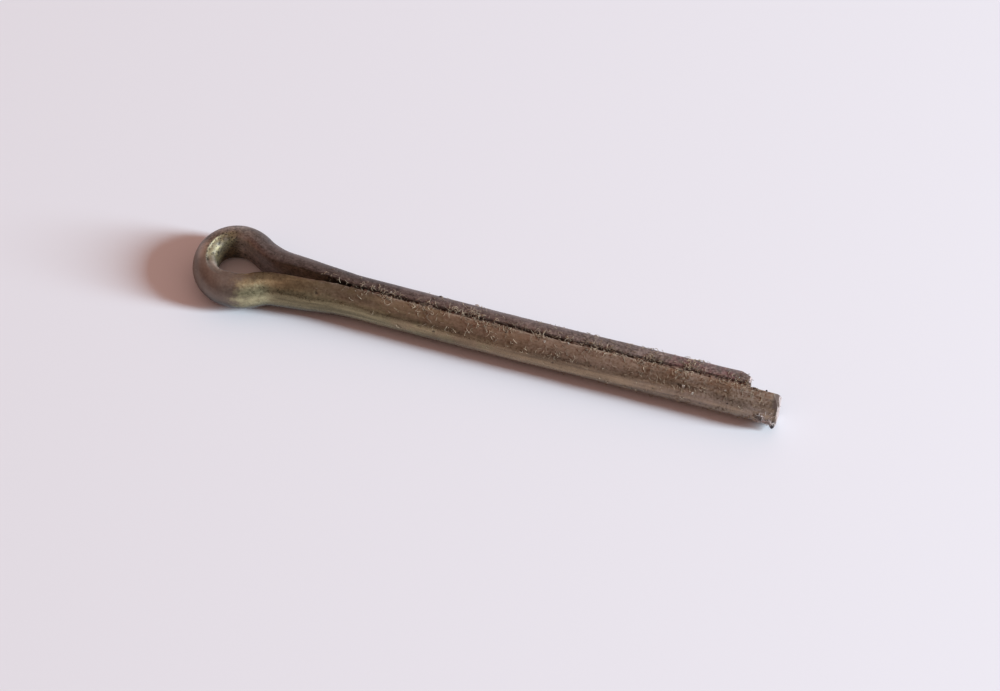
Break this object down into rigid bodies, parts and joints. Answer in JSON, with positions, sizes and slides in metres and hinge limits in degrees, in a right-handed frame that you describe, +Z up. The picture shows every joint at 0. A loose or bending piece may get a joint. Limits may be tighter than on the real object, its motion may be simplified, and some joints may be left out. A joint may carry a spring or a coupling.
{
  "type": "cotter pin",
  "caption": "Split cotter pin folded from half-round steel wire, with a loose eye and legs of unequal length, pushed through a cross hole and spread to lock it.",
  "frame": {"origin": "on the axis of the shank's straight stretch, where its slight bow ends", "axes": "+X along the shank from the eye to the leg tips, +Y from the long leg to the short leg, +Z up along the hole of the eye"},
  "size_m": [0.0634, 0.0092, 0.0046],
  "materials": {
    "tarnished_steel": "dull brown-olive tarnish over plated steel wire, worn and slightly rusted"
  },
  "bodies": {
    "root": {"cotter_pin": "tarnished_steel"}
  },
  "joints": []
}
